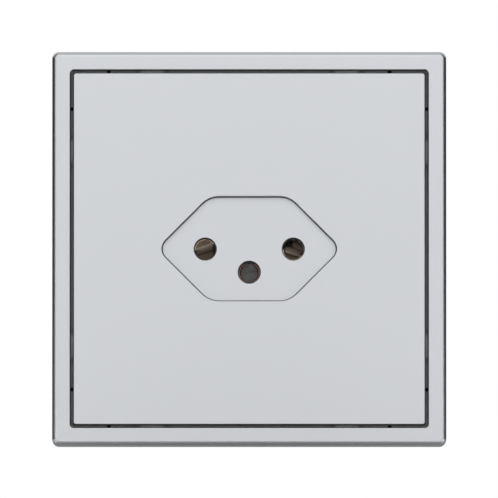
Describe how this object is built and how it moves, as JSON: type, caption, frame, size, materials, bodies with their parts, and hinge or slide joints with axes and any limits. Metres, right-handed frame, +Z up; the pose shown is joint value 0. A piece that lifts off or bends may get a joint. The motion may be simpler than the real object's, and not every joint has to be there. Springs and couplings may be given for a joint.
{
  "type": "swiss socket",
  "caption": "Square flush wall socket with a slim satin frame, a flat cover with a shallow hexagonal recess, and round pin holes for an earthed plug.",
  "frame": {"origin": "midway between the two box screws, on the wall plane, which is the back face of the support ring", "axes": "+X to the right and +Z up as seen from the room, +Y into the wall; the front of the socket looks along -Y"},
  "size_m": [0.085, 0.034, 0.085],
  "materials": {
    "frame_metal": "satin anodised",
    "cover_lacquer": "moulded, satin silver-grey lacquer",
    "dark_plastic": "moulded, fine texture",
    "plated_steel": "pressed and zinc plated",
    "carrier_plastic": "moulded",
    "housing_plastic": "moulded, fine texture",
    "contact_brass": "pressed, slightly tarnished",
    "earth_copper": "copper alloy, tinned, bare at the mouth",
    "terminal_brass": "sawn and tapped",
    "clamp_steel": "pressed and zinc plated",
    "screw_steel": "zinc plated",
    "strap_brass": "pressed"
  },
  "bodies": {
    "root": {"cover_frame": "frame_metal", "cover_plate": "cover_lacquer", "recess_insert": "cover_lacquer", "retaining_frame": "dark_plastic", "support_ring": "plated_steel", "contact_carrier": "carrier_plastic", "rear_housing": "housing_plastic", "live_contact": "contact_brass", "neutral_contact": "contact_brass", "earth_contact": "earth_copper", "live_nut": "terminal_brass", "neutral_nut": "terminal_brass", "earth_nut": "terminal_brass", "live_clamp": "clamp_steel", "neutral_clamp": "clamp_steel", "earth_clamp": "clamp_steel", "live_screw": "screw_steel", "neutral_screw": "screw_steel", "earth_screw": "screw_steel", "earth_strap": "strap_brass", "strap_rivet": "screw_steel", "ring_rivets": "screw_steel", "housing_screws": "screw_steel"}
  },
  "joints": []
}
